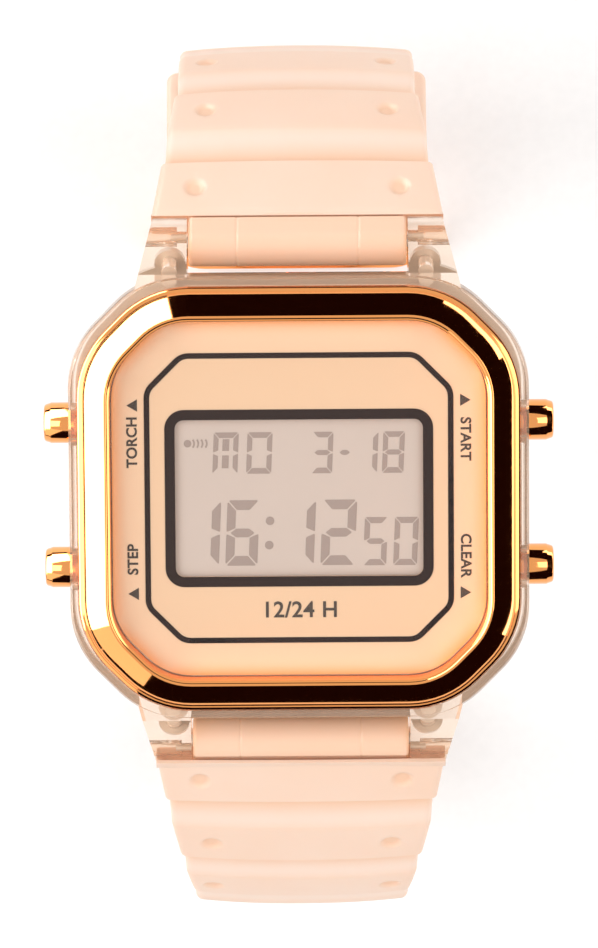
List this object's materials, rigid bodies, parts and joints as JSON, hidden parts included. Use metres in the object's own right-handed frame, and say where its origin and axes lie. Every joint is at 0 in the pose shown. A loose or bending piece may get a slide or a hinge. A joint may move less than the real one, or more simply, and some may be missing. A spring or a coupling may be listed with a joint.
{
  "type": "digital wrist watch",
  "caption": "Digital wrist watch: clear octagonal case, rose gold bezel, grey display, side buttons and an unbuckled peach resin strap with buckle and keeper.",
  "frame": {"origin": "centre of the case back's outer face", "axes": "+Z out of the dial, +Y to twelve o'clock, +X to three o'clock"},
  "size_m": [0.0398, 0.0722, 0.0664],
  "materials": {
    "case_clear": "clear moulded resin with a faint warm tint",
    "rose_gold": "polished, metallised rose gold",
    "rose_gold_metal": "polished, rose gold plated",
    "lens_clear": "polished clear acrylic",
    "dial_peach": "satin peach film",
    "dial_ink": "dark brown screen print",
    "display_glass": "matt polariser on glass",
    "display_reflector": "matt grey foil",
    "strap_resin": "satin peach resin",
    "steel": "brushed stainless steel",
    "spring_steel": "drawn spring steel",
    "gasket_rubber": "black rubber",
    "contact_rubber": "layered conductive rubber",
    "frame_white": "white moulded plastic",
    "board_green": "green circuit laminate",
    "chip_black": "black potting resin",
    "lamp_clear": "clear resin",
    "cell_steel": "nickel plated steel",
    "sounder_brass": "brass with a ceramic face"
  },
  "bodies": {
    "head": {"case_body": "case_clear", "case_back": "steel", "back_gasket": "gasket_rubber", "back_screws": "steel", "bezel_ring": "rose_gold", "lens": "lens_clear", "dial_plate": "dial_peach", "dial_print": "dial_ink", "display_glass": "display_glass", "display_reflector": "display_reflector", "contact_strips": "contact_rubber", "module_frame": "frame_white", "cell_frame": "frame_white", "circuit_board": "board_green", "module_screws": "steel", "chip_cap": "chip_black", "clock_crystal": "steel", "lamp": "lamp_clear", "cell": "cell_steel", "contact_plate": "spring_steel", "sounder_disc": "sounder_brass", "sounder_spring": "spring_steel", "button_rings": "gasket_rubber", "lug_bar_upper": "steel", "lug_bar_lower": "steel", "lug_bar_tips": "steel", "lug_bar_coils": "spring_steel", "button_spring_start": "spring_steel", "button_spring_reset": "spring_steel", "button_spring_light": "spring_steel", "button_spring_mode": "spring_steel"},
    "upper_strap": {"strap_upper": "strap_resin", "buckle_pin": "steel", "buckle_pin_tips": "steel", "buckle_pin_coil": "spring_steel"},
    "lower_strap": {"strap_lower": "strap_resin"},
    "keeper": {"strap_keeper": "strap_resin"},
    "buckle": {"buckle_frame": "rose_gold_metal"},
    "tongue": {"buckle_tongue": "rose_gold_metal"},
    "start_button": {"button_start": "rose_gold_metal", "button_clip_start": "spring_steel"},
    "reset_button": {"button_reset": "rose_gold_metal", "button_clip_reset": "spring_steel"},
    "light_button": {"button_light": "rose_gold_metal", "button_clip_light": "spring_steel"},
    "mode_button": {"button_mode": "rose_gold_metal", "button_clip_mode": "spring_steel"}
  },
  "joints": [
    {"name": "upper_strap_hinge", "type": "hinge", "parent": "head", "child": "upper_strap", "pos_m": [0, 0.0197, 0.00235], "axis": [1, 0, 0], "range_deg": [-3, 40]},
    {"name": "lower_strap_hinge", "type": "hinge", "parent": "head", "child": "lower_strap", "pos_m": [0, -0.0197, 0.00235], "axis": [-1, 0, 0], "range_deg": [-3, 40]},
    {"name": "buckle_hinge", "type": "hinge", "parent": "upper_strap", "child": "buckle", "pos_m": [0, 0.02088, -0.04751], "axis": [1, 0, 0], "range_deg": [-30, 40]},
    {"name": "tongue_hinge", "type": "hinge", "parent": "buckle", "child": "tongue", "pos_m": [0, 0.02088, -0.04751], "axis": [1, 0, 0], "range_deg": [0, 70]},
    {"name": "keeper_slide", "type": "slide", "parent": "upper_strap", "child": "keeper", "axis": [0, -0.5, -0.866], "range_m": [-0.0035, 0.0025]},
    {"name": "start_button_push", "type": "slide", "parent": "head", "child": "start_button", "axis": [-1, 0, 0], "range_m": [0, 0.0008], "stiffness_N_per_m": 900, "springref_m": -0.0006, "deforming": ["button_spring_start"]},
    {"name": "reset_button_push", "type": "slide", "parent": "head", "child": "reset_button", "axis": [-1, 0, 0], "range_m": [0, 0.0008], "stiffness_N_per_m": 900, "springref_m": -0.0006, "deforming": ["button_spring_reset"]},
    {"name": "light_button_push", "type": "slide", "parent": "head", "child": "light_button", "axis": [1, 0, 0], "range_m": [0, 0.0008], "stiffness_N_per_m": 900, "springref_m": -0.0006, "deforming": ["button_spring_light"]},
    {"name": "mode_button_push", "type": "slide", "parent": "head", "child": "mode_button", "axis": [1, 0, 0], "range_m": [0, 0.0008], "stiffness_N_per_m": 900, "springref_m": -0.0006, "deforming": ["button_spring_mode"]}
  ]
}
